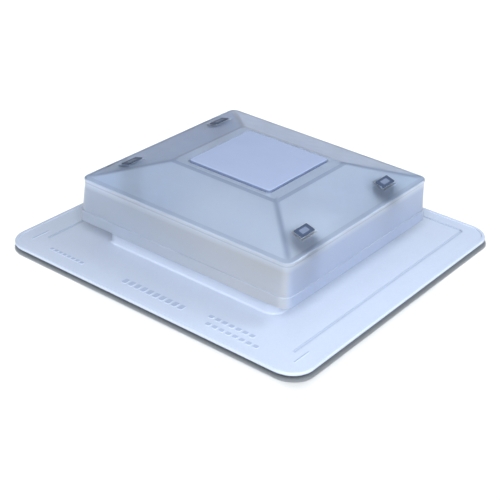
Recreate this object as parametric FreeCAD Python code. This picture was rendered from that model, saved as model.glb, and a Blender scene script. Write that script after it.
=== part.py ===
"""Static roof vent: a flanged base with a square throat collar, four posts that sit astride the
collar's wall, and a translucent hood held on the posts by four snap-in clips with expanding pins.

Millimetres. +X runs along the down-slope (front) edge of the flange, +Y points up the roof slope, and
+Z is up. The origin is the centre of the flange's underside.
"""
import FreeCAD, Part
import math
import os

from FreeCAD import Vector

# ---------------------------------------------------------------- driving dimensions

# Flange: a 16 inch square sheet with a rounded rim
FLANGE_SIDE = 406.0
FLANGE_THICKNESS = 3.0
FLANGE_CORNER_RADIUS = 28.0
RIM_WIDTH = 4.0
RIM_HEIGHT = 1.0
RIM_OUTER_FILLET = 1.6
RIM_LOWER_FILLET = 1.2

# Everything above the flange is set this far towards the down-slope edge
BODY_CENTRE_Y = -5.0

# Nail line: a shallow groove on three sides, open towards the down-slope edge
NAIL_LINE_SIDE_INSET = 31.5
NAIL_LINE_BACK_INSET = 20.0
NAIL_LINE_FRONT_INSET = 38.0
NAIL_LINE_WIDTH = 2.8
NAIL_LINE_DEPTH = 1.0
NAIL_LINE_CORNER_RADIUS = 6.0

# Throat collar
COLLAR_HALF = 120.0
COLLAR_WALL = 2.5
COLLAR_TOP = 48.0
COLLAR_CORNER_RADIUS = 14.5
COLLAR_FOOT_FILLET = 2.0
COLLAR_RIM_FILLET = 0.75

# Ledge inside the collar that carries the insect screen
LEDGE_WIDTH = 10.0
LEDGE_BOTTOM = 14.0
LEDGE_THICKNESS = 2.5
LEDGE_CORNER_RADIUS = 6.0
LEDGE_BOSS_RADIUS = 3.6
LEDGE_BOSS_DEPTH = 7.0
LEDGE_BOSS_FLOOR = 1.0
SCREEN_THICKNESS = 0.6
SCREEN_FRAME_THICKNESS = 3.0
SCREEN_FRAME_SETBACK = 0.5
SCREEN_FRAME_FILLET = 0.6
SCREEN_GAP = 0.3
CORNER_SCREW_SETBACK = 3.0
SCREEN_SCREW_RADIUS = 1.5
SCREEN_SCREW_HEAD_RADIUS = 3.2
SCREEN_SCREW_HEAD_HEIGHT = 1.8

# Hood
SKIRT_BOTTOM = 31.0
SKIRT_BOTTOM_HALF_X = 144.8
SKIRT_BOTTOM_HALF_Y = 139.9
SHOULDER_HEIGHT = 80.8
SHOULDER_HALF_X = 141.4
SHOULDER_HALF_Y = 136.4
SLOPE_LEDGE = 1.6
PLATEAU_HEIGHT = 102.3
PLATEAU_HALF_X = 69.7
PLATEAU_HALF_Y = 63.0
HOOD_WALL = 2.4
SKIRT_CORNER_RADIUS = 11.0
SHOULDER_CORNER_RADIUS = 9.0
PLATEAU_CORNER_RADIUS = 4.0
SHOULDER_BEAD_PROUD = 1.0
SHOULDER_BEAD_HEIGHT = 4.0
SHOULDER_BEAD_FILLET = 1.4
SHOULDER_BEAD_LOWER_FILLET = 0.9
DRIP_BAND_PROUD = 1.3
DRIP_BAND_HEIGHT = 12.0
DRIP_BAND_FILLET = 1.0

# Pale panel, set in a shallow recess of the plateau with a gap all round it
PANEL_HALF = 56.0
PANEL_THICKNESS = 3.6
PANEL_CORNER_RADIUS = 4.0
PANEL_EDGE_FILLET = 0.9
PANEL_RECESS_DEPTH = 1.2
PANEL_RECESS_GAP = 2.0

# Posts, at the four corners of a rectangle about the body's centre
POST_X = 119.0
POST_Y = 79.0
POST_WIDTH = 13.0
POST_DEPTH = 23.0
POST_EDGE_FILLET = 1.5
POST_BORE_BOTTOM = 56.0
POST_CHEEK_BOTTOM = 26.0
POST_SCREW_HEIGHT = 37.0
POST_SCREW_RADIUS = 1.75
POST_SCREW_HEAD_RADIUS = 3.6
POST_SCREW_HEAD_HEIGHT = 2.2
POST_SCREW_LENGTH = 11.5
SOCKET_GAP = 0.2
SOCKET_WALL = 1.5
SOCKET_DEPTH = 4.0

# Snap-in clips and their expanding pins
CLIP_HEAD_X = 11.2
CLIP_HEAD_Y = 23.5
CLIP_HEAD_HEIGHT = 2.2
CLIP_HEAD_FILLET = 1.0
CLIP_RECESS_X = 6.0
CLIP_RECESS_Y = 13.0
CLIP_RECESS_DEPTH = 1.3
CLIP_SHANK_X = 8.0
CLIP_SHANK_Y = 12.0
CLIP_SHANK_BOTTOM = 64.0
CLIP_SHANK_CHAMFER = 1.0
CLIP_LEG_SLOT = 3.0
CLIP_LEG_SLOT_TOP = 76.0
CLIP_HOLE_X = 4.4
CLIP_HOLE_Y = 8.0
BORE_CLEARANCE = 0.1
WINDOW_CLEARANCE = 0.2
PIN_CLEARANCE = 0.05
PIN_HEAD_CLEARANCE = 0.1
PIN_HEAD_HEIGHT = 1.2
PIN_HEAD_FILLET = 0.8
PIN_BOTTOM = 70.0
PIN_CHAMFER = 1.2
WINDOW_RIM_WALL = 1.8
WINDOW_RIM_HEIGHT = 1.4
WINDOW_RIM_GAP = 0.2

# Raised marks on the down-slope side of the flange: plain pads in rows, with no lettering.
# Each row is (first x, last x, centre y, number of pads, pad depth along Y).
MARK_HEIGHT = 0.6
MARK_PAD_SHARE = 0.68
MARK_CORNER_SHARE = 0.45
MARK_ROWS = [
    (-153, -101, -181, 8, 4.5),
    (-47, 40, -177, 10, 9.0),
    (66, 128, -170, 7, 5.5),
    (72, 142, -183, 8, 5.5),
]
MARK_RIB_FROM_NAIL_LINE = 11.0
MARK_RIB_Y = -167.0
MARK_RIB_WIDTH = 1.6
MARK_RIB_LENGTH = 26.0

# How far a piece that is fused to another reaches into it
ROOT = 0.5

# Longer than anything here: the reach of a cutting block
BIG = 500.0

# ---------------------------------------------------------------- values that follow

FLANGE_HALF = FLANGE_SIDE / 2
COLLAR_INNER_HALF = COLLAR_HALF - COLLAR_WALL
LEDGE_TOP = LEDGE_BOTTOM + LEDGE_THICKNESS
SCREEN_TOP = LEDGE_TOP + SCREEN_THICKNESS
FRAME_TOP = SCREEN_TOP + SCREEN_FRAME_THICKNESS
SCREEN_SCREW_TIP = LEDGE_BOTTOM - LEDGE_BOSS_DEPTH + LEDGE_BOSS_FLOOR

SLOPE_START_HEIGHT = SHOULDER_HEIGHT + SLOPE_LEDGE / 2
SLOPE_START_HALF_X = SHOULDER_HALF_X - SLOPE_LEDGE
SLOPE_START_HALF_Y = SHOULDER_HALF_Y - SLOPE_LEDGE
SLOPE_RISE = PLATEAU_HEIGHT - SLOPE_START_HEIGHT
SLOPE_X = SLOPE_RISE / (SLOPE_START_HALF_X - PLATEAU_HALF_X)
SLOPE_Y = SLOPE_RISE / (SLOPE_START_HALF_Y - PLATEAU_HALF_Y)
SLOPE_DROP = HOOD_WALL / math.cos(math.atan(SLOPE_X))

POST_CORNERS = {
    "front_right": (1, -1),
    "back_right": (1, 1),
    "front_left": (-1, -1),
    "back_left": (-1, 1),
}


def side_slope_height(x):
    """Height of the hood's outer surface on the +X slope."""
    return SLOPE_START_HEIGHT + (SLOPE_START_HALF_X - x) * SLOPE_X


# ---------------------------------------------------------------- helpers

def rounded_rectangle(half_x, half_y, radius, z, centre_y=BODY_CENTRE_Y):
    """A closed wire: four straight sides joined by quarter circles, at height z."""
    edges = []
    bulge = radius * (1 - math.sqrt(0.5))
    corners = [(1, 1), (-1, 1), (-1, -1), (1, -1)]
    for index, (sx, sy) in enumerate(corners):
        along_x = Vector(sx * (half_x - radius), centre_y + sy * half_y, z)
        along_y = Vector(sx * half_x, centre_y + sy * (half_y - radius), z)
        middle = Vector(sx * (half_x - bulge), centre_y + sy * (half_y - bulge), z)
        start, end = (along_y, along_x) if sx * sy > 0 else (along_x, along_y)
        edges.append(Part.Arc(start, middle, end).toShape())
        next_sx, next_sy = corners[(index + 1) % 4]
        if next_sx * next_sy > 0:
            following = Vector(next_sx * half_x, centre_y + next_sy * (half_y - radius), z)
        else:
            following = Vector(next_sx * (half_x - radius), centre_y + next_sy * half_y, z)
        edges.append(Part.makeLine(end, following))
    return Part.Wire(edges)


def rounded_prism(half_x, half_y, radius, bottom, top, centre_y=BODY_CENTRE_Y):
    outline = rounded_rectangle(half_x, half_y, radius, bottom, centre_y)
    return Part.Face(outline).extrude(Vector(0, 0, top - bottom))


def loft(*sections):
    """A solid through rounded rectangles given as (half_x, half_y, radius, z), with straight sides."""
    wires = [rounded_rectangle(*section) for section in sections]
    return Part.makeLoft(wires, True, True)


def block(x_range, y_range, z_range):
    size = [high - low for low, high in (x_range, y_range, z_range)]
    return Part.makeBox(*size, Vector(x_range[0], y_range[0], z_range[0]))


def centred_block(centre_x, centre_y, size_x, size_y, bottom, top):
    x_range = (centre_x - size_x / 2, centre_x + size_x / 2)
    y_range = (centre_y - size_y / 2, centre_y + size_y / 2)
    return block(x_range, y_range, (bottom, top))


def slope_block(size_x, size_y, low, high):
    """A block at the +X post's plan position, between two surfaces parallel to the hood's side slope.

    low and high are heights above the hood's outer surface, and None for low means far below it.
    """
    x_low = POST_X - size_x / 2
    x_high = POST_X + size_x / 2
    bottom_low = 0.0 if low is None else side_slope_height(x_low) + low
    bottom_high = 0.0 if low is None else side_slope_height(x_high) + low
    points = [
        Vector(x_low, -size_y / 2, bottom_low),
        Vector(x_high, -size_y / 2, bottom_high),
        Vector(x_high, -size_y / 2, side_slope_height(x_high) + high),
        Vector(x_low, -size_y / 2, side_slope_height(x_low) + high),
    ]
    outline = Part.makePolygon(points + points[:1])
    return Part.Face(outline).extrude(Vector(0, size_y, 0))


def above(shape, height):
    return shape.common(block((-BIG, BIG), (-BIG, BIG), (height, BIG)))


def edges_at_height(shape, height):
    """The edges that lie wholly at one height."""
    found = []
    for edge in shape.Edges:
        box = edge.BoundBox
        if abs(box.ZMin - height) < 1e-4 and abs(box.ZMax - height) < 1e-4:
            found.append(edge)
    return found


def vertical_edges(shape, shortest=5.0):
    found = []
    for edge in shape.Edges:
        box = edge.BoundBox
        if box.XLength < 1e-4 and box.YLength < 1e-4 and box.ZLength > shortest:
            found.append(edge)
    return found


def at_corner(shape, corner):
    """Moves a shape made for the +X side to one of the four post positions."""
    sign_x, sign_y = POST_CORNERS[corner]
    placed = shape.copy()
    if sign_x < 0:
        placed = placed.mirror(Vector(0, 0, 0), Vector(1, 0, 0))
    placed.translate(Vector(0, BODY_CENTRE_Y + sign_y * POST_Y, 0))
    return placed


def at_all_corners(shape):
    return [at_corner(shape, corner) for corner in POST_CORNERS]


# ---------------------------------------------------------------- base

def screen_screw_places():
    """Eight points on the ledge: the corners and the middles of its sides."""
    reach = COLLAR_INNER_HALF - LEDGE_WIDTH / 2
    corner_reach = reach - CORNER_SCREW_SETBACK
    places = [(sx * corner_reach, sy * corner_reach) for sx in (-1, 1) for sy in (-1, 1)]
    places += [(sx * reach, 0.0) for sx in (-1, 1)]
    places += [(0.0, sy * reach) for sy in (-1, 1)]
    return [(x, y + BODY_CENTRE_Y) for x, y in places]


def flange_plate():
    rim_top = FLANGE_THICKNESS + RIM_HEIGHT
    inner_half = FLANGE_HALF - RIM_WIDTH
    inner_radius = FLANGE_CORNER_RADIUS - RIM_WIDTH
    plate = rounded_prism(FLANGE_HALF, FLANGE_HALF, FLANGE_CORNER_RADIUS, 0, rim_top, 0)
    plate = plate.makeFillet(RIM_OUTER_FILLET, edges_at_height(plate, rim_top))
    plate = plate.makeFillet(RIM_LOWER_FILLET, edges_at_height(plate, 0))
    return plate.cut(rounded_prism(inner_half, inner_half, inner_radius, FLANGE_THICKNESS, rim_top + 1, 0))


def nail_line():
    """The groove's volume: a U of even width whose legs end short of the down-slope edge."""
    half_x = FLANGE_HALF - NAIL_LINE_SIDE_INSET
    back = FLANGE_HALF - NAIL_LINE_BACK_INSET
    front = -FLANGE_HALF + NAIL_LINE_FRONT_INSET
    bottom = FLANGE_THICKNESS - NAIL_LINE_DEPTH
    top = FLANGE_THICKNESS + 2 * RIM_HEIGHT
    half_width = NAIL_LINE_WIDTH / 2
    half_y = back - front
    shapes = []
    for grow in (half_width, -half_width):
        radius = NAIL_LINE_CORNER_RADIUS + grow
        shapes.append(rounded_prism(half_x + grow, half_y + grow, radius, bottom, top, front))
    ring = shapes[0].cut(shapes[1])
    return ring.common(block((-BIG, BIG), (front, BIG), (0, BIG)))


def mark_row(first_x, last_x, centre_y, count, pad_y):
    """A row of equal rounded pads that stand a little above the flange."""
    pitch = (last_x - first_x) / count
    half_x = pitch * MARK_PAD_SHARE / 2
    half_y = pad_y / 2
    radius = min(half_x, half_y) * MARK_CORNER_SHARE
    pads = []
    for index in range(count):
        pad = rounded_prism(half_x, half_y, radius, FLANGE_THICKNESS - ROOT,
                            FLANGE_THICKNESS + MARK_HEIGHT, centre_y)
        pad.translate(Vector(first_x + (index + 0.5) * pitch, 0, 0))
        pads.append(pad)
    return pads


def flange_marks():
    marks = []
    for row in MARK_ROWS:
        marks += mark_row(*row)
    rib_x = FLANGE_HALF - NAIL_LINE_SIDE_INSET + MARK_RIB_FROM_NAIL_LINE
    for sign in (-1, 1):
        marks.append(centred_block(sign * rib_x, MARK_RIB_Y, MARK_RIB_WIDTH, MARK_RIB_LENGTH,
                                   FLANGE_THICKNESS - ROOT, FLANGE_THICKNESS + MARK_HEIGHT))
    return marks


def collar():
    outer = rounded_prism(COLLAR_HALF, COLLAR_HALF, COLLAR_CORNER_RADIUS, 0, COLLAR_TOP)
    return outer.makeFillet(COLLAR_RIM_FILLET, edges_at_height(outer, COLLAR_TOP))


def throat():
    radius = COLLAR_CORNER_RADIUS - COLLAR_WALL
    return rounded_prism(COLLAR_INNER_HALF, COLLAR_INNER_HALF, radius, -1, COLLAR_TOP + 1)


def screen_ledge():
    half = COLLAR_INNER_HALF + ROOT
    inner_half = COLLAR_INNER_HALF - LEDGE_WIDTH
    ledge = rounded_prism(half, half, COLLAR_CORNER_RADIUS - COLLAR_WALL + ROOT, LEDGE_BOTTOM, LEDGE_TOP)
    bosses = []
    for x, y in screen_screw_places():
        base = Vector(x, y, LEDGE_BOTTOM - LEDGE_BOSS_DEPTH)
        bosses.append(Part.makeCylinder(LEDGE_BOSS_RADIUS, LEDGE_BOSS_DEPTH + ROOT, base))
    ledge = ledge.cut(rounded_prism(inner_half, inner_half, LEDGE_CORNER_RADIUS, 0, LEDGE_TOP + 1))
    return ledge.fuse(bosses)


def base_flange():
    body = flange_plate().fuse(collar()).removeSplitter()
    foot = []
    for edge in edges_at_height(body, FLANGE_THICKNESS):
        middle = edge.valueAt((edge.FirstParameter + edge.LastParameter) / 2)
        if max(abs(middle.x), abs(middle.y - BODY_CENTRE_Y)) < COLLAR_HALF + 0.01:
            foot.append(edge)
    body = body.makeFillet(COLLAR_FOOT_FILLET, foot)
    body = body.cut(throat())
    body = body.fuse(screen_ledge())
    body = body.cut(nail_line())
    body = body.fuse(flange_marks())
    for x, y in screen_screw_places():
        pilot_base = Vector(x, y, SCREEN_SCREW_TIP)
        body = body.cut(Part.makeCylinder(SCREEN_SCREW_RADIUS, FRAME_TOP - SCREEN_SCREW_TIP, pilot_base))
    hole = Part.makeCylinder(POST_SCREW_RADIUS, 2 * POST_WIDTH,
                             Vector(POST_X - POST_WIDTH, 0, POST_SCREW_HEIGHT), Vector(1, 0, 0))
    for placed_hole in at_all_corners(hole):
        body = body.cut(placed_hole)
    return body.removeSplitter()


# ---------------------------------------------------------------- screen

def insect_screen():
    half = COLLAR_INNER_HALF - SCREEN_GAP
    radius = COLLAR_CORNER_RADIUS - COLLAR_WALL - SCREEN_GAP
    sheet = rounded_prism(half, half, radius, LEDGE_TOP, SCREEN_TOP)
    for x, y in screen_screw_places():
        hole_base = Vector(x, y, LEDGE_TOP - 1)
        sheet = sheet.cut(Part.makeCylinder(SCREEN_SCREW_RADIUS, SCREEN_THICKNESS + 2, hole_base))
    return sheet


def screen_frame():
    half = COLLAR_INNER_HALF - SCREEN_GAP
    radius = COLLAR_CORNER_RADIUS - COLLAR_WALL - SCREEN_GAP
    inner_half = COLLAR_INNER_HALF - LEDGE_WIDTH + SCREEN_FRAME_SETBACK
    frame = rounded_prism(half, half, radius, SCREEN_TOP, FRAME_TOP)
    opening = rounded_prism(inner_half, inner_half, LEDGE_CORNER_RADIUS, SCREEN_TOP - 1, FRAME_TOP + 1)
    frame = frame.cut(opening)
    frame = frame.makeFillet(SCREEN_FRAME_FILLET, edges_at_height(frame, FRAME_TOP))
    for x, y in screen_screw_places():
        hole_base = Vector(x, y, SCREEN_TOP - 1)
        hole = Part.makeCylinder(SCREEN_SCREW_RADIUS, SCREEN_FRAME_THICKNESS + 2, hole_base)
        frame = frame.cut(hole)
    return frame


def pan_screw(radius, length, head_radius, head_height):
    """A screw along +Z: the head's underside at z = 0, the shank below it."""
    shank = Part.makeCylinder(radius, length, Vector(0, 0, -length))
    shank = shank.makeChamfer(radius * 0.6, edges_at_height(shank, -length))
    head = Part.makeCylinder(head_radius, head_height, Vector(0, 0, 0))
    head = head.makeFillet(head_height * 0.6, edges_at_height(head, head_height))
    screw = shank.fuse(head).removeSplitter()
    slot_width = head_radius * 0.28
    slot_length = head_radius * 1.1
    slot_bottom = head_height * 0.45
    for size_x, size_y in ((slot_length, slot_width), (slot_width, slot_length)):
        screw = screw.cut(centred_block(0, 0, size_x, size_y, slot_bottom, head_height + 1))
    return screw


def screen_screws():
    length = FRAME_TOP - SCREEN_SCREW_TIP
    screw = pan_screw(SCREEN_SCREW_RADIUS, length, SCREEN_SCREW_HEAD_RADIUS, SCREEN_SCREW_HEAD_HEIGHT)
    placed = []
    for x, y in screen_screw_places():
        copy = screw.copy()
        copy.translate(Vector(x, y, FRAME_TOP))
        placed.append(copy)
    return Part.makeCompound(placed)


# ---------------------------------------------------------------- posts

def support_post():
    """A post for the +X side: a hollow top for the clip, and two cheeks astride the collar's wall."""
    post = slope_block(POST_WIDTH, POST_DEPTH, None, -SLOPE_DROP)
    post = above(post, POST_CHEEK_BOTTOM)
    post = post.makeFillet(POST_EDGE_FILLET, vertical_edges(post))
    wall_x = (COLLAR_INNER_HALF, COLLAR_HALF)
    post = post.cut(block(wall_x, (-BIG, BIG), (0, COLLAR_TOP)))
    bore = centred_block(POST_X, 0, CLIP_SHANK_X + 2 * BORE_CLEARANCE, CLIP_SHANK_Y + 2 * BORE_CLEARANCE,
                         POST_BORE_BOTTOM, BIG)
    post = post.cut(bore)
    return post.cut(post_screw_shank())


def post_screw_shank():
    start = Vector(POST_X - POST_WIDTH / 2, 0, POST_SCREW_HEIGHT)
    return Part.makeCylinder(POST_SCREW_RADIUS, POST_SCREW_LENGTH, start, Vector(1, 0, 0))


def post_screws():
    screw = pan_screw(POST_SCREW_RADIUS, POST_SCREW_LENGTH, POST_SCREW_HEAD_RADIUS, POST_SCREW_HEAD_HEIGHT)
    screw.rotate(Vector(0, 0, 0), Vector(0, 1, 0), -90)
    screw.translate(Vector(POST_X - POST_WIDTH / 2, 0, POST_SCREW_HEIGHT))
    return Part.makeCompound(at_all_corners(screw))


# ---------------------------------------------------------------- hood

def hood_outside():
    drip_top = SKIRT_BOTTOM + DRIP_BAND_HEIGHT
    skirt_rise = SHOULDER_HEIGHT - SKIRT_BOTTOM
    draft = (SKIRT_BOTTOM_HALF_X - SHOULDER_HALF_X) / skirt_rise
    skirt = loft(
        (SKIRT_BOTTOM_HALF_X, SKIRT_BOTTOM_HALF_Y, SKIRT_CORNER_RADIUS, SKIRT_BOTTOM),
        (SHOULDER_HALF_X, SHOULDER_HALF_Y, SHOULDER_CORNER_RADIUS, SHOULDER_HEIGHT))
    band_top_shrink = draft * DRIP_BAND_HEIGHT
    band_x = SKIRT_BOTTOM_HALF_X + DRIP_BAND_PROUD
    band_y = SKIRT_BOTTOM_HALF_Y + DRIP_BAND_PROUD
    band_radius = SKIRT_CORNER_RADIUS + DRIP_BAND_PROUD
    band = loft(
        (band_x, band_y, band_radius, SKIRT_BOTTOM),
        (band_x - band_top_shrink, band_y - band_top_shrink, band_radius, drip_top))
    band = band.makeFillet(DRIP_BAND_FILLET, edges_at_height(band, drip_top))
    bead_bottom = SHOULDER_HEIGHT + SLOPE_LEDGE / 2 - SHOULDER_BEAD_HEIGHT
    bead = rounded_prism(
        SHOULDER_HALF_X + SHOULDER_BEAD_PROUD, SHOULDER_HALF_Y + SHOULDER_BEAD_PROUD,
        SHOULDER_CORNER_RADIUS + SHOULDER_BEAD_PROUD, bead_bottom, SLOPE_START_HEIGHT)
    bead = bead.makeFillet(SHOULDER_BEAD_FILLET, edges_at_height(bead, SLOPE_START_HEIGHT))
    bead = bead.makeFillet(SHOULDER_BEAD_LOWER_FILLET, edges_at_height(bead, bead_bottom))
    slopes = loft(
        (SLOPE_START_HALF_X, SLOPE_START_HALF_Y, SHOULDER_CORNER_RADIUS - SLOPE_LEDGE, SLOPE_START_HEIGHT),
        (PLATEAU_HALF_X, PLATEAU_HALF_Y, PLATEAU_CORNER_RADIUS, PLATEAU_HEIGHT))
    return skirt.fuse([band, bead, slopes]).removeSplitter()


def hood_inside():
    """The space under the hood. Its side slopes lie exactly SLOPE_DROP under the outer ones."""
    rise = SHOULDER_HEIGHT - SKIRT_BOTTOM
    draft_x = (SKIRT_BOTTOM_HALF_X - SHOULDER_HALF_X) / rise
    draft_y = (SKIRT_BOTTOM_HALF_Y - SHOULDER_HALF_Y) / rise
    below = 1.0
    shoulder_x = SHOULDER_HALF_X - HOOD_WALL
    shoulder_y = SHOULDER_HALF_Y - HOOD_WALL
    inner_shoulder = side_slope_height(shoulder_x) - SLOPE_DROP
    inner_plateau = PLATEAU_HEIGHT - HOOD_WALL
    plateau_x = shoulder_x - (inner_plateau - inner_shoulder) / SLOPE_X
    plateau_y = shoulder_y - (inner_plateau - inner_shoulder) / SLOPE_Y
    drop = inner_shoulder - SKIRT_BOTTOM + below
    skirt = loft(
        (shoulder_x + draft_x * drop, shoulder_y + draft_y * drop, SKIRT_CORNER_RADIUS - HOOD_WALL,
         SKIRT_BOTTOM - below),
        (shoulder_x, shoulder_y, SHOULDER_CORNER_RADIUS - HOOD_WALL, inner_shoulder))
    slopes = loft(
        (shoulder_x, shoulder_y, SHOULDER_CORNER_RADIUS - HOOD_WALL, inner_shoulder),
        (plateau_x, plateau_y, PLATEAU_CORNER_RADIUS, inner_plateau))
    return skirt.fuse(slopes)


def post_socket():
    """The short sleeve under the slope that the top of a post stands in."""
    inner_x = POST_WIDTH + 2 * SOCKET_GAP
    inner_y = POST_DEPTH + 2 * SOCKET_GAP
    sleeve = slope_block(inner_x + 2 * SOCKET_WALL, inner_y + 2 * SOCKET_WALL, None, -HOOD_WALL / 2)
    bottom = side_slope_height(POST_X) - SLOPE_DROP - SOCKET_DEPTH
    sleeve = above(sleeve, bottom)
    return sleeve.cut(slope_block(inner_x, inner_y, None, -SLOPE_DROP))


def window_rim():
    inner_x = CLIP_HEAD_X + 2 * WINDOW_RIM_GAP
    inner_y = CLIP_HEAD_Y + 2 * WINDOW_RIM_GAP
    outer_x = inner_x + 2 * WINDOW_RIM_WALL
    outer_y = inner_y + 2 * WINDOW_RIM_WALL
    rim = slope_block(outer_x, outer_y, -HOOD_WALL / 2, WINDOW_RIM_HEIGHT)
    return rim.cut(slope_block(inner_x, inner_y, 0, 2 * WINDOW_RIM_HEIGHT))


def window():
    size_x = CLIP_SHANK_X + 2 * WINDOW_CLEARANCE
    size_y = CLIP_SHANK_Y + 2 * WINDOW_CLEARANCE
    return centred_block(POST_X, 0, size_x, size_y, POST_BORE_BOTTOM, BIG)


def panel_recess():
    half = PANEL_HALF + PANEL_RECESS_GAP
    radius = PANEL_CORNER_RADIUS + PANEL_RECESS_GAP
    return rounded_prism(half, half, radius, PLATEAU_HEIGHT - PANEL_RECESS_DEPTH, PLATEAU_HEIGHT + 1)


def hood():
    shell = hood_outside().cut(hood_inside()).cut(panel_recess())
    shell = shell.fuse(at_all_corners(post_socket()) + at_all_corners(window_rim()))
    for opening in at_all_corners(window()):
        shell = shell.cut(opening)
    return shell.removeSplitter()


def top_panel():
    bottom = PLATEAU_HEIGHT - PANEL_RECESS_DEPTH
    top = bottom + PANEL_THICKNESS
    panel = rounded_prism(PANEL_HALF, PANEL_HALF, PANEL_CORNER_RADIUS, bottom, top)
    return panel.makeFillet(PANEL_EDGE_FILLET, edges_at_height(panel, top))


# ---------------------------------------------------------------- clips

def hood_clip():
    head = slope_block(CLIP_HEAD_X, CLIP_HEAD_Y, 0, CLIP_HEAD_HEIGHT)
    head = head.makeFillet(CLIP_HEAD_FILLET, vertical_edges(head, 1.0))
    shank = above(slope_block(CLIP_SHANK_X, CLIP_SHANK_Y, None, 0), CLIP_SHANK_BOTTOM)
    shank = shank.makeChamfer(CLIP_SHANK_CHAMFER, edges_at_height(shank, CLIP_SHANK_BOTTOM))
    clip = head.fuse(shank).removeSplitter()
    recess_floor = CLIP_HEAD_HEIGHT - CLIP_RECESS_DEPTH
    clip = clip.cut(slope_block(CLIP_RECESS_X, CLIP_RECESS_Y, recess_floor, 2 * CLIP_HEAD_HEIGHT))
    clip = clip.cut(centred_block(POST_X, 0, CLIP_HOLE_X, CLIP_HOLE_Y, 0, BIG))
    leg_slot = centred_block(POST_X, 0, 2 * CLIP_SHANK_X, CLIP_LEG_SLOT, 0, CLIP_LEG_SLOT_TOP)
    return clip.cut(leg_slot)


def clip_pin():
    head_x = CLIP_RECESS_X - 2 * PIN_HEAD_CLEARANCE
    head_y = CLIP_RECESS_Y - 2 * PIN_HEAD_CLEARANCE
    head_low = CLIP_HEAD_HEIGHT - CLIP_RECESS_DEPTH
    head = slope_block(head_x, head_y, head_low, head_low + PIN_HEAD_HEIGHT)
    head = head.makeFillet(PIN_HEAD_FILLET, vertical_edges(head, 0.5))
    shank = slope_block(CLIP_HOLE_X - 2 * PIN_CLEARANCE, CLIP_HOLE_Y - 2 * PIN_CLEARANCE, None, head_low)
    shank = above(shank, PIN_BOTTOM)
    shank = shank.makeChamfer(PIN_CHAMFER, edges_at_height(shank, PIN_BOTTOM))
    return head.fuse(shank).removeSplitter()


# ---------------------------------------------------------------- output

def build_nodes():
    nodes = {
        "base_flange": base_flange(),
        "insect_screen": insect_screen(),
        "screen_frame": screen_frame(),
        "screen_screws": screen_screws(),
        "post_screws": post_screws(),
        "hood": hood(),
        "top_panel": top_panel(),
    }
    repeated = {"support_post": support_post(), "hood_clip": hood_clip(), "clip_pin": clip_pin()}
    for stem, shape in repeated.items():
        for corner in POST_CORNERS:
            nodes[f"{stem}_{corner}"] = at_corner(shape, corner)
    return nodes


os.makedirs("parts", exist_ok=True)
for name, shape in build_nodes().items():
    print(name, shape.isValid(), len(shape.Solids), "solids", round(shape.Volume / 1000, 2), "cm3")
    shape.exportStep(f"parts/{name}.step")
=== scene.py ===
import math

import bmesh
import bpy
from mathutils import Matrix, Quaternion, Vector


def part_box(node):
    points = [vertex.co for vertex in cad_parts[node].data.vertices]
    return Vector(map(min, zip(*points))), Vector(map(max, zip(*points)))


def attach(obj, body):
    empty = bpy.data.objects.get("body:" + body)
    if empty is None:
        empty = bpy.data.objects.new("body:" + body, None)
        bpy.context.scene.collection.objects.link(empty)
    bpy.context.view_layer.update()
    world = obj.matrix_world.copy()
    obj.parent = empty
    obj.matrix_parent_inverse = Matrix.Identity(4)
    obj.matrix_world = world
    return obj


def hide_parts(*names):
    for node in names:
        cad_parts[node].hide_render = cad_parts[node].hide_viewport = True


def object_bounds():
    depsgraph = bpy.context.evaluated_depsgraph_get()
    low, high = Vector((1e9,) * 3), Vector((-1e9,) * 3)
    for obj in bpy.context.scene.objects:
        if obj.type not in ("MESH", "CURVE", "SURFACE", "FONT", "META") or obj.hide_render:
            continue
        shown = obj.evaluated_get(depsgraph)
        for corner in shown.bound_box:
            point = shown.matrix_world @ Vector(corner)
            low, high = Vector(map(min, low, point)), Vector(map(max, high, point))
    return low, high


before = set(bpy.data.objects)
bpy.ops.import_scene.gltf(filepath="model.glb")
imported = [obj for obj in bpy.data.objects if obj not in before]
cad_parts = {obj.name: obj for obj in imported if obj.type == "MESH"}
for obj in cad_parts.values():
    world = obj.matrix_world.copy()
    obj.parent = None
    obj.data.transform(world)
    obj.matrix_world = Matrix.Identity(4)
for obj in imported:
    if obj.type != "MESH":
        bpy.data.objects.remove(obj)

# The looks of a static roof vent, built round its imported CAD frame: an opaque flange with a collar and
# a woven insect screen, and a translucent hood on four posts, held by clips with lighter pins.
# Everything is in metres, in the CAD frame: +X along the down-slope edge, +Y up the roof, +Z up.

CAD_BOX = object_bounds()
MM = 0.001

# ---------------------------------------------------------------- driving values

# Camera: where it looks, from where, and how it is rolled, with angles in degrees
VIEW_TARGET = Vector((0.0137, -0.0297, 0.003))
VIEW_AZIMUTH = 35.4
VIEW_ELEVATION = 29.3
VIEW_ROLL = 3.9
VIEW_DISTANCE = 1.41
LENS_MM = 89.1
SENSOR_MM = 36.0

# Light: a sky that is darker towards the horizon, three soft lights on the object, and one that falls
# on the floor alone. Each light is its place, its diameter and its watts.
COOL_WHITE = (0.86, 0.93, 1.0)
SKY_AT_HORIZON = 0.15
SKY_OVERHEAD = 0.42
SKY_OVERHEAD_FROM = 0.45
KEY_LIGHT = ((0.75, 0.15, 0.62), 0.4, 5.5)
TOP_LIGHT = ((1.22, -1.77, 1.42), 1.3, 104.0)
FILL_LIGHT = ((0.50, -1.45, 0.32), 0.6, 4.0)
SWEEP_LIGHT = ((-3.6, 3.6, 5.2), 1.4, 650.0)

# Floor: a large disc just under the object
FLOOR_DROP = 3 * MM
FLOOR_RADIUS = 40.0
FLOOR_SIDES = 64

# Flange: the nail line's middle at the sides and at the back, how far its sides reach forward, and how
# the shade painted in and beside it fades from its middle
NAIL_LINE_X = 171.5 * MM
NAIL_LINE_Y = 183.0 * MM
NAIL_LINE_REACH = 165.0 * MM
NAIL_LINE_DARK = 1.2 * MM
NAIL_LINE_CLEAR = 2.8 * MM

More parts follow.
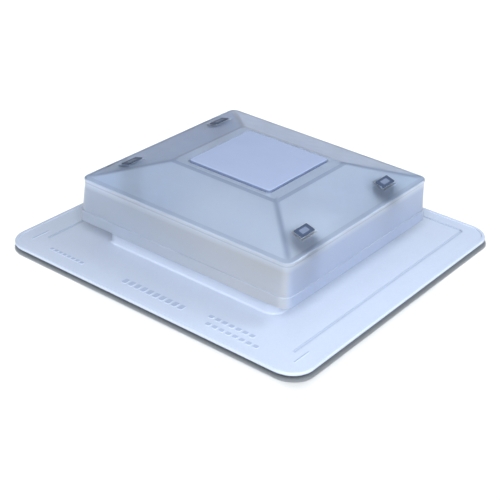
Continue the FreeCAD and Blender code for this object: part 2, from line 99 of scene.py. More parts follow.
# Flange: the raised marks' tops lie between these heights, and their colour ends between these lines
MARK_LOW = 3.3 * MM
MARK_HIGH = 3.8 * MM
MARKS_FULL_Y = -155 * MM
MARKS_END_Y = -150 * MM

# Hood: its skirt, the bead where its slopes meet its skirt, and the level plateau
SKIRT_FULL = 70 * MM
SKIRT_ENDS = 77 * MM
SHOULDER_HEIGHT = 79.6 * MM
BEAD_BOTTOM = 77.6 * MM
BEAD_TOP = 81.6 * MM
PLATEAU_HEIGHT = 102.3 * MM
PLATEAU_HALF_X = 69.7 * MM
PLATEAU_HALF_Y = 63.0 * MM

# Clips: their middles' distances from the hood's middle, and the raised rims round their windows
CLIP_X = 119.0 * MM
CLIP_Y = 79.0 * MM
WINDOW_RIM_HALF_X = 7.6 * MM
WINDOW_RIM_HALF_Y = 13.8 * MM

# The clearer zone down-slope of each post: how far it is shifted from the clip, and how it fades
CLEAR_SHIFT_X = 10 * MM
CLEAR_SHIFT_Y = -12 * MM
CLEAR_INNER = 12 * MM
CLEAR_OUTER = 28 * MM

# Insect screen: plain-woven wire, eight meshes to the inch
WIRE_PITCH = 25.4 * MM / 8
WIRE_STEPS_PER_CROSSING = 2
WIRE_SIDES = 4
WIRE_FLATNESS = 2.2
SCREEN_CORNER_RADIUS = 12 * MM

# Screws: sizes, and how far the crosses in their heads are turned, in radians per metre of their place
SCREEN_SCREW_RADIUS = 1.5 * MM
SCREEN_SCREW_HEAD_HEIGHT = 1.8 * MM
SCREEN_SCREW_TURN_X = 40
SCREEN_SCREW_TURN_Y = 25
POST_SCREW_RADIUS = 1.75 * MM
POST_SCREW_HEAD_HEIGHT = 2.2 * MM
POST_SCREW_TURN_Y = 30

# Screw shape: shares of the head's radius and height, or of the shank's radius
SCREW_SEGMENTS = 48
HEAD_RINGS = 15
HEAD_RIM = ((0.975, 0.42), (1.0, 0.28), (1.0, 0.08), (0.97, 0.0))
DOME_FALL = 0.45
CROSS_REACH = 0.62
CROSS_HALF_WIDTH = 0.15
CROSS_DEPTH = 0.55
CROSS_EDGE = 1.15
CROSS_TAPER = 0.3
THREAD_PITCH = 0.55
THREAD_DEPTH = 0.16
THREAD_STEPS_PER_TURN = 4
TIP_LENGTH = 0.12
TIP_RADIUS = 0.35

CORNERS = ("front_right", "back_right", "front_left", "back_left")

# Colours, as linear red, green and blue
FLANGE_DARK = (0.375, 0.425, 0.525)
FLANGE_LIGHT = (0.405, 0.455, 0.555)
FLANGE_SPECK = (0.45, 0.51, 0.63)
FLANGE_EDGE_HIGHLIGHT = (0.54, 0.61, 0.72)
FLANGE_GROOVE_SHADE = (0.22, 0.27, 0.37)
FLANGE_MARK = (0.26, 0.31, 0.43)
HOOD_DARK = (0.71, 0.80, 0.955)
HOOD_LIGHT = (0.75, 0.84, 0.975)
HOOD_FLOW = (0.80, 0.87, 0.96)
HOOD_FOLD_SHADE = (0.34, 0.41, 0.56)
HOOD_CORNER_HIGHLIGHT = (0.62, 0.65, 0.70)
HOOD_SHOULDER_HIGHLIGHT = (0.90, 0.93, 0.97)
HOOD_WINDOW_RIM_HIGHLIGHT = (0.88, 0.93, 0.98)
HOOD_SIDE_SHADE = (0.40, 0.54, 0.86)
HOOD_FAR_CORNER_SHADE = (0.54, 0.66, 0.83)
SKIRT = (0.51, 0.575, 0.68)
SKIRT_WARM_LIGHT = (0.60, 0.61, 0.62)
SKIRT_COOL_LIGHT = (0.49, 0.565, 0.76)
PANEL_DARK = (0.265, 0.32, 0.47)
PANEL_LIGHT = (0.295, 0.35, 0.50)
PANEL_SIDE_SHADE = (0.09, 0.12, 0.20)
FRAME_SHADES = ((0.40, 0.47, 0.60), (0.45, 0.52, 0.65), (0.55, 0.62, 0.74))
POST_SHADES = ((0.04, 0.06, 0.10), (0.055, 0.08, 0.125), (0.13, 0.17, 0.24))
CLIP_SHADES = ((0.03, 0.045, 0.085), (0.045, 0.065, 0.115), (0.1, 0.13, 0.19))
PIN_SHADES = ((0.11, 0.14, 0.21), (0.14, 0.17, 0.25), (0.22, 0.26, 0.34))
WIRE_DARK = (0.80, 0.82, 0.85)
WIRE_LIGHT = (0.90, 0.91, 0.92)
STEEL_DARK = (0.55, 0.55, 0.54)
STEEL_LIGHT = (0.74, 0.73, 0.68)
FLOOR_DARK = (0.90, 0.90, 0.89)
FLOOR_LIGHT = (0.93, 0.93, 0.92)


# ---------------------------------------------------------------- node trees

class Shading:
    """A material with one Principled shader, and short calls that add nodes to it."""

    def __init__(self, name, **inputs):
        self.material = bpy.data.materials.new(name)
        self.material.use_nodes = True
        self.tree = self.material.node_tree
        self.tree.nodes.clear()
        output = self.tree.nodes.new("ShaderNodeOutputMaterial")
        self.shader = self.tree.nodes.new("ShaderNodeBsdfPrincipled")
        self.tree.links.new(self.shader.outputs["BSDF"], output.inputs["Surface"])
        self.place = self.tree.nodes.new("ShaderNodeTexCoord").outputs["Object"]
        for label, value in inputs.items():
            self.set(label.replace("_", " "), value)

    def set(self, label, value):
        """Gives a shader input a plain value, or joins a node's socket to it."""
        self.feed(self.shader.inputs[label], value)

    def feed(self, socket, value):
        if isinstance(value, bpy.types.NodeSocket):
            self.tree.links.new(value, socket)
        elif isinstance(value, (tuple, list)) and len(value) == 3 and socket.type == "RGBA":
            socket.default_value = (*value, 1.0)
        else:
            socket.default_value = value

    def node(self, kind, settings=None, **inputs):
        made = self.tree.nodes.new("ShaderNode" + kind)
        for label, value in (settings or {}).items():
            setattr(made, label, value)
        for label, value in inputs.items():
            self.feed(made.inputs[label.replace("_", " ")], value)
        return made

    def stretched(self, x, y, z):
        """The object's coordinates times a factor along each axis."""
        return self.node("Mapping", Vector=self.place, Scale=(x, y, z)).outputs["Vector"]

    def noise(self, size, detail=2.0, place=None):
        """Noise with features of about this size in metres, from 0 to 1."""
        made = self.node("TexNoise", Vector=place or self.place, Scale=1 / size, Detail=detail)
        return made.outputs["Fac"]

    def axis(self, letter):
        """One of the object's coordinates, X, Y or Z."""
        return self.node("SeparateXYZ", Vector=self.place).outputs[letter]

    def normal(self, letter):
        """One coordinate of the way the face points, X, Y or Z."""
        normal = self.node("NewGeometry").outputs["Normal"]
        return self.node("SeparateXYZ", Vector=normal).outputs[letter]

    def fit(self, value, low, high, to_low, to_high):
        """The value's place between low and high, moved to between to_low and to_high."""
        made = self.node("MapRange", {"clamp": True}, Value=value)
        numbers = {"From Min": low, "From Max": high, "To Min": to_low, "To Max": to_high}
        for label, number in numbers.items():
            made.inputs[label].default_value = number
        return made.outputs["Result"]

    def maths(self, operation, first, second):
        made = self.node("Math", {"operation": operation})
        self.feed(made.inputs[0], first)
        self.feed(made.inputs[1], second)
        return made.outputs["Value"]

    def product(self, first, *others):
        for other in others:
            first = self.maths("MULTIPLY", first, other)
        return first

    def greatest(self, first, *others):
        for other in others:
            first = self.maths("MAXIMUM", first, other)
        return first

    def distance(self, value, middle):
        """How far the value lies from a middle, on either side."""
        return self.maths("ABSOLUTE", self.maths("SUBTRACT", value, middle), 0.0)

    def band(self, value, low, high):
        """1 where the value lies between low and high, else 0."""
        above = self.maths("GREATER_THAN", value, low)
        below = self.maths("LESS_THAN", value, high)
        return self.product(above, below)

    def blend(self, factor, first, second):
        """The first colour where the factor is 0, the second where it is 1."""
        made = self.node("Mix", {"data_type": "RGBA"})
        self.feed(made.inputs[0], factor)
        self.feed(made.inputs[6], first)
        self.feed(made.inputs[7], second)
        return made.outputs[2]

    def tint(self, colour, mask, share, towards):
        """The colour, moved this share of the way towards another where the mask is 1."""
        return self.blend(self.product(mask, share), colour, towards)

    def bump(self, height, depth, strength=1.0, below=None):
        """Bends the normal by a height from 0 to 1 that stands for depth metres."""
        made = self.node("Bump", Height=height, Strength=strength, Distance=depth)
        if below is not None:
            self.feed(made.inputs["Normal"], below)
        return made.outputs["Normal"]

    def edges(self, width):
        """1 on edges rounded over this width, 0 on flat faces."""
        rounded = self.node("Bevel", {"samples": 4}, Radius=width).outputs["Normal"]
        plain = self.node("NewGeometry").outputs["Normal"]
        made = self.node("VectorMath", {"operation": "DOT_PRODUCT"})
        self.feed(made.inputs[0], rounded)
        self.feed(made.inputs[1], plain)
        return self.fit(made.outputs["Value"], 0.98, 0.75, 0.0, 1.0)


# ---------------------------------------------------------------- flange material

def flange_plastic():
    """Opaque pale blue-grey moulding: a fine sparkle-eroded grain, soft patches and a few scuffs."""
    m = Shading("flange_plastic", IOR=1.48)
    patches = m.noise(60 * MM, detail=4.0)
    specks = m.noise(2.2 * MM, detail=3.0)
    colour = m.blend(patches, FLANGE_DARK, FLANGE_LIGHT)
    colour = m.blend(m.fit(specks, 0.35, 0.7, 0.0, 0.22), colour, FLANGE_SPECK)
    # A painted highlight along the rounded edges.
    colour = m.tint(colour, m.edges(1.2 * MM), 0.5, FLANGE_EDGE_HIGHLIGHT)
    # Painted shade in and beside the nail line's groove.
    colour = m.tint(colour, nail_line_shade_mask(m), 0.5, FLANGE_GROOVE_SHADE)
    m.set("Base Color", m.tint(colour, raised_mark_mask(m), 0.8, FLANGE_MARK))
    m.set("Roughness", m.fit(m.noise(18 * MM, detail=5.0), 0.3, 0.7, 0.30, 0.46))
    waves = m.bump(m.noise(90 * MM, detail=1.0), 0.8 * MM, 0.5)
    grain = m.bump(m.noise(0.9 * MM, detail=2.0), 0.05 * MM, 0.6, waves)
    along_sides = m.stretched(1.0, 0.06, 1.0)
    scuffs = m.fit(m.noise(1.4 * MM, detail=2.0, place=along_sides), 0.66, 0.8, 0.0, 1.0)
    m.set("Normal", m.bump(scuffs, 0.03 * MM, 0.4, grain))
    return m.material


def nail_line_shade_mask(m):
    """1 in the nail line's groove, fading just past its edges; the groove is a U open to the front."""
    x = m.distance(m.axis("X"), 0.0)
    y = m.axis("Y")
    near_side = m.fit(m.distance(x, NAIL_LINE_X), NAIL_LINE_DARK, NAIL_LINE_CLEAR, 1.0, 0.0)
    near_back = m.fit(m.distance(y, NAIL_LINE_Y), NAIL_LINE_DARK, NAIL_LINE_CLEAR, 1.0, 0.0)
    side = m.product(near_side, m.band(y, -NAIL_LINE_REACH, NAIL_LINE_Y))
    back = m.product(near_back, m.maths("LESS_THAN", x, NAIL_LINE_X))
    return m.greatest(side, back)


def raised_mark_mask(m):
    """1 on the tops of the raised marks along the flange's front."""
    facing_up = m.fit(m.normal("Z"), 0.5, 0.9, 0.0, 1.0)
    in_front = m.fit(m.axis("Y"), MARKS_FULL_Y, MARKS_END_Y, 1.0, 0.0)
    return m.product(facing_up, m.band(m.axis("Z"), MARK_LOW, MARK_HIGH), in_front)


# ---------------------------------------------------------------- hood material

def hood_plastic():
    """Translucent frosted plastic: most light goes through the wall, blurred, and the rest scatters in it.

    It is milkier in the skirt. Painted highlights make it paler along the bead, round the windows and
    down the skirt's upright corners. Painted light makes the skirt's front faces warmer and lighter
    towards the right, and its right faces bluer. Painted shade makes it darker along the folds, on the
    left and back slopes, and towards the front left and back right corners. It is clearest just below
    each post's clip.
    """
    m = Shading("hood_plastic", IOR=1.38)
    patches = m.noise(70 * MM, detail=4.0)
    flow = m.noise(14 * MM, detail=4.0, place=m.stretched(1.0, 1.0, 0.35))
    skirt = m.fit(m.axis("Z"), SKIRT_FULL, SKIRT_ENDS, 1.0, 0.0)
    colour = m.blend(patches, HOOD_DARK, HOOD_LIGHT)
    colour = m.blend(m.fit(flow, 0.4, 0.7, 0.0, 0.15), colour, HOOD_FLOW)
    colour = m.blend(skirt, colour, SKIRT)
    # Painted light: the skirt's front faces warmer and lighter towards the right.
    colour = m.tint(colour, m.product(warm_front_mask(m), skirt), 0.7, SKIRT_WARM_LIGHT)
    # Painted light: the skirt's right faces tinted bluer.
    colour = m.tint(colour, m.product(right_side_mask(m), skirt), 0.7, SKIRT_COOL_LIGHT)
    # Painted highlights down the upright corners, along the bead and round the window rims.
    colour = m.tint(colour, upright_corner_mask(m), 0.3, HOOD_CORNER_HIGHLIGHT)
    colour = m.tint(colour, shoulder_mask(m), 0.5, HOOD_SHOULDER_HIGHLIGHT)
    colour = m.tint(colour, window_rim_mask(m), 0.7, HOOD_WINDOW_RIM_HIGHLIGHT)
    # Painted shade on the left and back slopes.
    colour = m.tint(colour, shaded_slope_mask(m), 0.6, HOOD_SIDE_SHADE)
    # Painted shade towards the front left and back right corners of the slopes.
    colour = m.tint(colour, far_corner_shade_mask(m), 0.6, HOOD_FAR_CORNER_SHADE)
    # Painted shade along the hips, the bead's edges, the plateau's edge and the panel's recess.
    bead_edge = m.product(bead_edge_mask(m), 0.6)
    fold = m.greatest(hip_mask(m), plateau_edge_mask(m), bead_edge)
    m.set("Base Color", m.tint(colour, fold, 0.7, HOOD_FOLD_SHADE))
    m.set("Roughness", m.fit(flow, 0.3, 0.7, 0.28, 0.34))
    through = m.product(m.fit(patches, 0.2, 0.8, 0.83, 0.78), m.fit(skirt, 0.0, 1.0, 1.0, 0.90))
    clear = m.product(near_post_mask(m), m.fit(skirt, 0.0, 1.0, 1.0, 0.3), 0.15)
    m.set("Transmission Weight", m.maths("ADD", through, clear))
    m.set("Coat Weight", 0.12)
    m.set("Coat Roughness", 0.25)
    waves = m.bump(m.noise(45 * MM, detail=1.0), 0.5 * MM, 0.4)
    m.set("Normal", m.bump(m.noise(0.8 * MM), 0.03 * MM, 0.4, waves))
    return m.material


def hood_middle():
    low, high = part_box("hood")
    return (low + high) / 2


def hood_half_size():
    low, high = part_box("hood")
    return (high - low) / 2


def from_hood_middle(m):
    """How far a point lies from the hood's middle along X and along Y."""
    middle = hood_middle()
    return [m.distance(m.axis("X"), middle.x), m.distance(m.axis("Y"), middle.y)]


def warm_front_mask(m):
    """1 on faces that point to the front, fading away towards the left, for the skirt's painted light."""
    front = m.fit(m.normal("Y"), -0.8, -0.3, 1.0, 0.0)
    rising = m.fit(m.axis("X"), -80 * MM, 100 * MM, 0.0, 1.0)
    return m.product(front, rising)


def right_side_mask(m):
    """1 on faces that point to the right, for the skirt's painted cool light."""
    return m.fit(m.normal("X"), 0.7, 0.95, 0.0, 1.0)


def upright_corner_mask(m):
    """1 in the middle of the skirt's four rounded corners, which are upright, for a painted highlight."""
    half = hood_half_size()
    near_corner = [
        m.fit(away, half[index] - 13 * MM, half[index] - 5 * MM, 0.0, 1.0)
        for index, away in enumerate(from_hood_middle(m))
    ]
    below_bead = m.fit(m.axis("Z"), SHOULDER_HEIGHT - 4 * MM, SHOULDER_HEIGHT - 1 * MM, 1.0, 0.0)
    return m.product(*near_corner, below_bead)


def shoulder_mask(m):
    """1 along the bead where the hood's slopes meet its skirt, fading down into the skirt."""
    height = m.axis("Z")
    above = m.fit(height, BEAD_TOP - 1.0 * MM, BEAD_TOP, 1.0, 0.0)
    below = m.fit(height, BEAD_BOTTOM - 8.0 * MM, BEAD_BOTTOM, 0.0, 1.0)
    return m.product(above, below)


def above_shoulder(m, fade):
    """1 on the slopes, fading in over a height above the shoulder."""
    return m.fit(m.axis("Z"), SHOULDER_HEIGHT, SHOULDER_HEIGHT + fade, 0.0, 1.0)


def window_rim_mask(m):
    """1 over the raised rim round each clip's window, for a painted highlight."""
    away_x, away_y = from_hood_middle(m)
    along_x = m.fit(m.distance(away_x, CLIP_X), WINDOW_RIM_HALF_X, WINDOW_RIM_HALF_X + 1 * MM, 1.0, 0.0)
    along_y = m.fit(m.distance(away_y, CLIP_Y), WINDOW_RIM_HALF_Y, WINDOW_RIM_HALF_Y + 1 * MM, 1.0, 0.0)
    return m.product(along_x, along_y, above_shoulder(m, 2 * MM))


def shaded_slope_mask(m):
    """1 on the outside of the left and back slopes, which get painted shade."""
    left = m.fit(m.normal("X"), -0.25, -0.15, 1.0, 0.0)
    back = m.fit(m.normal("Y"), 0.15, 0.25, 0.0, 1.0)
    up = m.fit(m.normal("Z"), 0.8, 0.9, 0.0, 1.0)
    return m.product(m.greatest(left, back), up)


def far_corner_shade_mask(m):
    """1 on the slopes at the front left and back right corners, fading inwards along the diagonal."""
    middle = hood_middle()
    along_diagonal = m.maths("ADD", m.axis("X"), m.axis("Y"))
    away = m.fit(m.distance(along_diagonal, middle.x + middle.y), 90 * MM, 235 * MM, 0.0, 1.0)
    return m.product(away, above_shoulder(m, 2 * MM))


def hip_mask(m):
    """1 along the four folds where two slopes of the hood meet, fading over a few millimetres."""
    away_x, away_y = from_hood_middle(m)
    past_plateau_x = m.maths("SUBTRACT", away_x, PLATEAU_HALF_X)
    past_plateau_y = m.maths("SUBTRACT", away_y, PLATEAU_HALF_Y)
    line = m.fit(m.distance(past_plateau_x, past_plateau_y), 1.0 * MM, 7.0 * MM, 1.0, 0.0)
    past_corner = m.fit(past_plateau_x, -3 * MM, 0.0, 0.0, 1.0)
    return m.product(line, above_shoulder(m, 4 * MM), past_corner)


def plateau_edge_mask(m):
    """1 round the plateau's edge and on the floor of the panel's recess, which lie at one height."""
    return m.band(m.axis("Z"), PLATEAU_HEIGHT - 1.5 * MM, PLATEAU_HEIGHT - 0.2 * MM)


def bead_edge_mask(m):
    """1 in the two folds where the bead meets the slopes and the skirt."""
    height = m.axis("Z")
    upper = m.band(height, BEAD_TOP - 0.2 * MM, BEAD_TOP + 1.0 * MM)
    lower = m.band(height, BEAD_BOTTOM - 1.4 * MM, BEAD_BOTTOM + 0.2 * MM)
    return m.greatest(upper, lower)


def near_post_mask(m):
    """1 just down-slope of each post, between its clip and the bead, fading over a few centimetres."""
    middle = hood_middle()
    away_x = m.distance(m.axis("X"), middle.x)
    away_y = m.distance(m.axis("Y"), middle.y + CLEAR_SHIFT_Y)
    off_x = m.maths("SUBTRACT", away_x, CLIP_X + CLEAR_SHIFT_X)
    off_y = m.maths("SUBTRACT", away_y, CLIP_Y)
    squares = m.maths("ADD", m.product(off_x, off_x), m.product(off_y, off_y))
    return m.fit(m.maths("SQRT", squares, 0.0), CLEAR_INNER, CLEAR_OUTER, 1.0, 0.0)


# ---------------------------------------------------------------- other materials

def panel_plastic():
    """The paler plate on the plateau, satin, with faint brushed lines from its tool."""
    m = Shading("panel_plastic", IOR=1.47)
    colour = m.blend(m.noise(25 * MM, detail=4.0), PANEL_DARK, PANEL_LIGHT)
    # Painted shade on the plate's side faces.
    m.set("Base Color", m.blend(m.fit(m.normal("Z"), 0.3, 0.7, 0.9, 0.0), colour, PANEL_SIDE_SHADE))
    lines = m.noise(0.7 * MM, place=m.stretched(0.04, 1.0, 1.0))
    m.set("Roughness", m.fit(lines, 0.3, 0.7, 0.30, 0.42))
    m.set("Normal", m.bump(lines, 0.02 * MM, 0.35))
    return m.material


def matte_plastic(name, shades):
    """Matte moulded plastic between a dark and a light shade, with a paler one on its rounded edges."""
    dark, light, edge_tone = shades
    m = Shading(name, IOR=1.48)
    colour = m.blend(m.noise(6 * MM, detail=4.0), dark, light)
    m.set("Base Color", m.tint(colour, m.edges(0.5 * MM), 0.6, edge_tone))
    m.set("Roughness", m.fit(m.noise(2.5 * MM, detail=3.0), 0.3, 0.7, 0.42, 0.60))
    m.set("Normal", m.bump(m.noise(0.5 * MM), 0.03 * MM, 0.5))
    return m.material


def wire_metal():
    """Drawn aluminium wire, slightly dulled in patches."""
    m = Shading("wire_metal", Metallic=1.0)
    dull = m.noise(9 * MM, detail=4.0)
    m.set("Base Color", m.blend(dull, WIRE_DARK, WIRE_LIGHT))
    m.set("Roughness", m.fit(dull, 0.3, 0.7, 0.45, 0.28))
    m.set("Normal", m.bump(m.noise(0.25 * MM, place=m.stretched(1.0, 1.0, 0.2)), 0.01 * MM, 0.4))
    return m.material


def zinc_steel():
    """Zinc-plated screw steel, finely grained, with a faint warm passivation in spots."""
    m = Shading("zinc_steel", Metallic=1.0)
    spots = m.noise(1.6 * MM, detail=4.0)
    m.set("Base Color", m.blend(spots, STEEL_DARK, STEEL_LIGHT))
    m.set("Roughness", m.fit(spots, 0.3, 0.7, 0.24, 0.42))
    m.set("Normal", m.bump(m.noise(0.3 * MM), 0.01 * MM, 0.5))
    return m.material


def floor_paper():
    m = Shading("floor_paper", Roughness=0.9, IOR=1.2)
    m.set("Base Color", m.blend(m.noise(0.4), FLOOR_DARK, FLOOR_LIGHT))
    return m.material


# ---------------------------------------------------------------- mesh helpers

def mesh_piece(name, made, body, material, replaced):
    """Turns a bmesh into a piece that rides on a body and stands for a CAD node."""
    mesh = bpy.data.meshes.new(name)
    bmesh.ops.recalc_face_normals(made, faces=made.faces)
    made.to_mesh(mesh)
    made.free()
    for face in mesh.polygons:
        face.use_smooth = True
    piece = bpy.data.objects.new(name, mesh)
    bpy.context.scene.collection.objects.link(piece)
    mesh.materials.append(material)
    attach(piece, body)
    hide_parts(replaced)
    return piece


def bridge(made, first, second):
    """Quads between two rings of the same number of points."""
    count = len(first)
    for i in range(count):
        j = (i + 1) % count
        made.faces.new((first[i], first[j], second[j], second[i]))


# ---------------------------------------------------------------- insect screen

def wire_ring(made, centre, across, radius):
    """The corners of a strand's section, flattened across the strand."""
    ring = []
    for side in range(WIRE_SIDES):
        angle = math.pi / WIRE_SIDES + side * 2 * math.pi / WIRE_SIDES
        sideways = across * math.cos(angle) * radius * WIRE_FLATNESS
        upward = Vector((0, 0, math.sin(angle) * radius))
        ring.append(made.verts.new(centre + sideways + upward))
    return ring


def screen_wire(made, start, direction, length, radius, lift, phase):
    """One wire of the weave: a square-sectioned strand that goes over and under its neighbours."""
    across = Vector((-direction.y, direction.x, 0))
    steps = max(2, round(length / WIRE_PITCH * WIRE_STEPS_PER_CROSSING))
    rings = []
    for step in range(steps + 1):
        along = length * step / steps
        wave = math.cos(math.pi * (along / WIRE_PITCH + phase))
        centre = start + direction * along + Vector((0, 0, wave * lift))
        rings.append(wire_ring(made, centre, across, radius))
    for first, second in zip(rings, rings[1:]):
        bridge(made, first, second)
    made.faces.new(rings[0])
    made.faces.new(rings[-1])


def insect_screen(material):
    """A square of woven wire with rounded corners, as thick as its CAD sheet."""
    low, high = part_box("insect_screen")
    thickness = high.z - low.z
    radius = thickness / 4
    lift = thickness / 2 - radius
    middle = (low + high) / 2
    half = (high.x - low.x) / 2
    straight = half - SCREEN_CORNER_RADIUS
    count = int(half / WIRE_PITCH)
    made = bmesh.new()
    for index in range(-count, count + 1):
        offset = index * WIRE_PITCH
        into_corner = max(0.0, abs(offset) - straight)
        past_straight = math.sqrt(max(0.0, SCREEN_CORNER_RADIUS ** 2 - into_corner ** 2))
        reach = straight + past_straight - radius
        for direction in (Vector((1, 0, 0)), Vector((0, 1, 0))):
            side = Vector((direction.y, direction.x, 0))
            start = middle + side * offset - direction * reach
            phase = index + direction.y - reach / WIRE_PITCH
            screen_wire(made, start, direction, 2 * reach, radius, lift, phase)
    return mesh_piece("woven_screen", made, "base", material, "insect_screen")


# ---------------------------------------------------------------- screws

SCREW_ANGLES = [2 * math.pi * i / SCREW_SEGMENTS for i in range(SCREW_SEGMENTS)]


def head_surface(x, y, radius, height):
    """The height of a pan head's surface: a low dome with a cross recess that tapers inwards."""
    share = min(1.0, math.hypot(x, y) / radius)
    dome = height * (1 - DOME_FALL * share ** 4)
    reach = radius * CROSS_REACH
    half_width = radius * CROSS_HALF_WIDTH
    in_arm = min(
        max(abs(x) / reach, abs(y) / half_width),
        max(abs(y) / reach, abs(x) / half_width),
    )
    depth = max(0.0, min(1.0, (CROSS_EDGE - in_arm) / CROSS_TAPER))
    return dome - depth * height * CROSS_DEPTH


def head_rings(radius, head_radius, head_height):
    """Rings of points from near the head's middle, over its rim and in to the shank."""
    circles = []
    for step in range(1, HEAD_RINGS):
        circles.append((head_radius * step / HEAD_RINGS, None))
    for share, level in HEAD_RIM:
        circles.append((head_radius * share, head_height * level))
    circles.append((radius, 0.0))
    rings = []
    for circle_radius, level in circles:
        ring = []
        for angle in SCREW_ANGLES:
            x = math.cos(angle) * circle_radius
            y = math.sin(angle) * circle_radius
            z = head_surface(x, y, head_radius, head_height) if level is None else level
            ring.append((x, y, z))
        rings.append(ring)
    return rings


def thread_rings(radius, length):
    """Rings of points down a threaded shank that narrows to its tip."""
    pitch = radius * THREAD_PITCH
    count = round(length / pitch * THREAD_STEPS_PER_TURN)
    rings = []
    for step in range(1, count):
        z = -length * step / count
        taper = min(1.0, (count - step) / (count * TIP_LENGTH))
        widest = radius * (TIP_RADIUS + (1 - TIP_RADIUS) * taper)
        ring = []
        for angle in SCREW_ANGLES:
            wave = math.cos(2 * math.pi * z / pitch - angle)
            at = widest * (1 - THREAD_DEPTH * (0.5 - 0.5 * wave))
            ring.append((math.cos(angle) * at, math.sin(angle) * at, z))
        rings.append(ring)
    return rings


def screw(made, matrix, radius, length, head_radius, head_height):
    """A pan-head screw along +Z with its head's underside at z = 0, placed by matrix."""
    points = head_rings(radius, head_radius, head_height) + thread_rings(radius, length)
    rings = [[made.verts.new(matrix @ Vector(point)) for point in ring] for ring in points]
    for first, second in zip(rings, rings[1:]):
        bridge(made, first, second)
    top_height = head_surface(0, 0, head_radius, head_height)
    top = made.verts.new(matrix @ Vector((0, 0, top_height)))
    tip = made.verts.new(matrix @ Vector((0, 0, -length)))
    for i in range(SCREW_SEGMENTS):
        j = (i + 1) % SCREW_SEGMENTS
        made.faces.new((top, rings[0][i], rings[0][j]))
        made.faces.new((tip, rings[-1][j], rings[-1][i]))


def loose_parts(node):
    """The lowest and highest corner of each separate solid in a CAD node."""
    made = bmesh.new()
    made.from_mesh(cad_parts[node].data)
    bmesh.ops.remove_doubles(made, verts=made.verts, dist=0.01 * MM)
    left = set(made.verts)
    boxes = []
    while left:
        group = {left.pop()}
        front = list(group)
        while front:
            vert = front.pop()
            for edge in vert.link_edges:
                other = edge.other_vert(vert)
                if other in left:
                    left.remove(other)
                    group.add(other)
                    front.append(other)
        lows = [min(v.co[i] for v in group) for i in range(3)]
        highs = [max(v.co[i] for v in group) for i in range(3)]
        boxes.append((Vector(lows), Vector(highs)))
    made.free()
    return sorted(boxes, key=lambda box: tuple(round(x, 4) for x in box[0]))


def screen_screws(material):
    """The eight upright screws that hold the screen's frame down."""
    made = bmesh.new()
    for low, high in loose_parts("screen_screws"):
        head_radius = (high.x - low.x) / 2
        centre = (low + high) / 2
        head_bottom = high.z - SCREEN_SCREW_HEAD_HEIGHT
        angle = centre.x * SCREEN_SCREW_TURN_X + centre.y * SCREEN_SCREW_TURN_Y
        turn = Matrix.Rotation(angle, 4, "Z")
        matrix = Matrix.Translation((centre.x, centre.y, head_bottom)) @ turn
        length = head_bottom - low.z
        screw(made, matrix, SCREEN_SCREW_RADIUS, length, head_radius, SCREEN_SCREW_HEAD_HEIGHT)
    return mesh_piece("frame_screws", made, "base", material, "screen_screws")


def post_screws(material):
    """The four level screws that hold the posts, driven outwards from inside the collar."""
    made = bmesh.new()
    for low, high in loose_parts("post_screws"):
        head_radius = (high.z - low.z) / 2
        centre = (low + high) / 2
        outward = 1 if centre.x > 0 else -1
        inner = low.x if outward > 0 else high.x
        head_bottom = inner + outward * POST_SCREW_HEAD_HEIGHT
        lay_down = Matrix.Rotation(-outward * math.pi / 2, 4, "Y")
        turn = Matrix.Rotation(centre.y * POST_SCREW_TURN_Y, 4, "Z")
        matrix = Matrix.Translation((head_bottom, centre.y, centre.z)) @ lay_down @ turn
        length = high.x - low.x - POST_SCREW_HEAD_HEIGHT
        screw(made, matrix, POST_SCREW_RADIUS, length, head_radius, POST_SCREW_HEAD_HEIGHT)
    return mesh_piece("post_fixing_screws", made, "base", material, "post_screws")


# ---------------------------------------------------------------- stage

def make_camera():
    azimuth = math.radians(VIEW_AZIMUTH)
    elevation = math.radians(VIEW_ELEVATION)
    back = Vector((
        math.sin(azimuth) * math.cos(elevation),
        -math.cos(azimuth) * math.cos(elevation),
        math.sin(elevation),
    ))
    data = bpy.data.cameras.new("camera")
    data.lens = LENS_MM
    data.sensor_width = SENSOR_MM
    camera = bpy.data.objects.new("camera", data)
    bpy.context.scene.collection.objects.link(camera)
    camera.location = VIEW_TARGET + back * VIEW_DISTANCE
    camera.rotation_mode = "QUATERNION"
    roll = Quaternion((0, 0, 1), math.radians(VIEW_ROLL))
    camera.rotation_quaternion = (-back).to_track_quat("-Z", "Y") @ roll
    bpy.context.scene.camera = camera


def make_floor():
    low, _ = CAD_BOX
    made = bmesh.new()
    bmesh.ops.create_circle(made, cap_ends=True, segments=FLOOR_SIDES, radius=FLOOR_RADIUS)
    mesh = bpy.data.meshes.new("floor")
    made.to_mesh(mesh)
    made.free()
    mesh.materials.append(floor_paper())
    floor = bpy.data.objects.new("floor", mesh)
    floor.location.z = low.z - FLOOR_DROP
    bpy.context.scene.collection.objects.link(floor)
    return floor


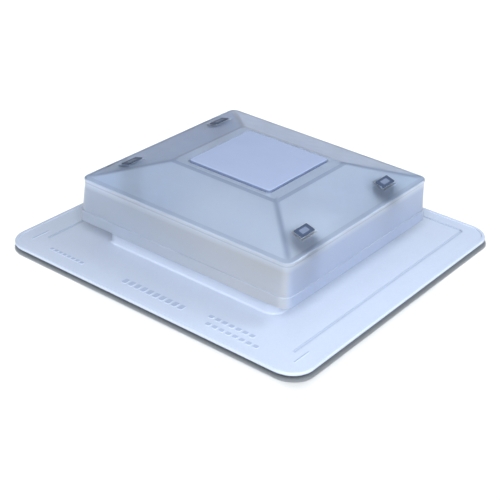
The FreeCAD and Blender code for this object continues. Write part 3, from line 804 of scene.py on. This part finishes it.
def make_sky():
    """A pale sky whose strength grows from the horizon upwards."""
    world = bpy.data.worlds.new("studio")
    bpy.context.scene.world = world
    world.use_nodes = True
    nodes = world.node_tree.nodes
    links = world.node_tree.links
    sky = nodes["Background"]
    sky.inputs["Color"].default_value = (*COOL_WHITE, 1.0)
    upward = nodes.new("ShaderNodeSeparateXYZ")
    links.new(nodes.new("ShaderNodeTexCoord").outputs["Generated"], upward.inputs["Vector"])
    strength = nodes.new("ShaderNodeMapRange")
    strength.inputs["From Max"].default_value = SKY_OVERHEAD_FROM
    strength.inputs["To Min"].default_value = SKY_AT_HORIZON
    strength.inputs["To Max"].default_value = SKY_OVERHEAD
    links.new(upward.outputs["Z"], strength.inputs["Value"])
    links.new(strength.outputs["Result"], sky.inputs["Strength"])


def area_light(name, place, size, watts):
    """A round soft light at a place, aimed at the origin."""
    data = bpy.data.lights.new(name, "AREA")
    data.shape = "DISK"
    data.size = size
    data.energy = watts
    light = bpy.data.objects.new(name, data)
    light.location = place
    light.rotation_mode = "QUATERNION"
    light.rotation_quaternion = (-Vector(place)).to_track_quat("-Z", "Y")
    bpy.context.scene.collection.objects.link(light)
    return light


def light_floor(light, floor, state):
    """Makes a light fall on the floor alone (INCLUDE), or on everything but the floor (EXCLUDE)."""
    receivers = bpy.data.collections.new(light.name + "_receivers")
    receivers.objects.link(floor)
    receivers.collection_objects[0].light_linking.link_state = state
    light.light_linking.receiver_collection = receivers


def make_lights(floor):
    """The top and fill lights stay out of reflections, so that they leave no glare on the far slopes."""
    key = area_light("key", *KEY_LIGHT)
    key.data.color = COOL_WHITE
    top = area_light("top", *TOP_LIGHT)
    fill = area_light("fill", *FILL_LIGHT)
    for light in (top, fill):
        light.visible_glossy = False
    for light in (key, top, fill):
        light_floor(light, floor, "EXCLUDE")
    light_floor(area_light("sweep", *SWEEP_LIGHT), floor, "INCLUDE")
    bpy.context.scene.view_settings.view_transform = "Standard"


# ---------------------------------------------------------------- assembly

def dress(node, material):
    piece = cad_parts[node]
    piece.data.materials.clear()
    piece.data.materials.append(material)


def dress_nodes():
    """Gives every CAD node that stays its procedural material."""
    dress("base_flange", flange_plastic())
    dress("hood", hood_plastic())
    dress("top_panel", panel_plastic())
    dress("screen_frame", matte_plastic("frame_plastic", FRAME_SHADES))
    post = matte_plastic("post_plastic", POST_SHADES)
    clip = matte_plastic("clip_plastic", CLIP_SHADES)
    pin = matte_plastic("pin_plastic", PIN_SHADES)
    for corner in CORNERS:
        dress("support_post_" + corner, post)
        dress("hood_clip_" + corner, clip)
        dress("clip_pin_" + corner, pin)


make_camera()
make_sky()
make_lights(make_floor())
dress_nodes()
insect_screen(wire_metal())
steel = zinc_steel()
screen_screws(steel)
post_screws(steel)
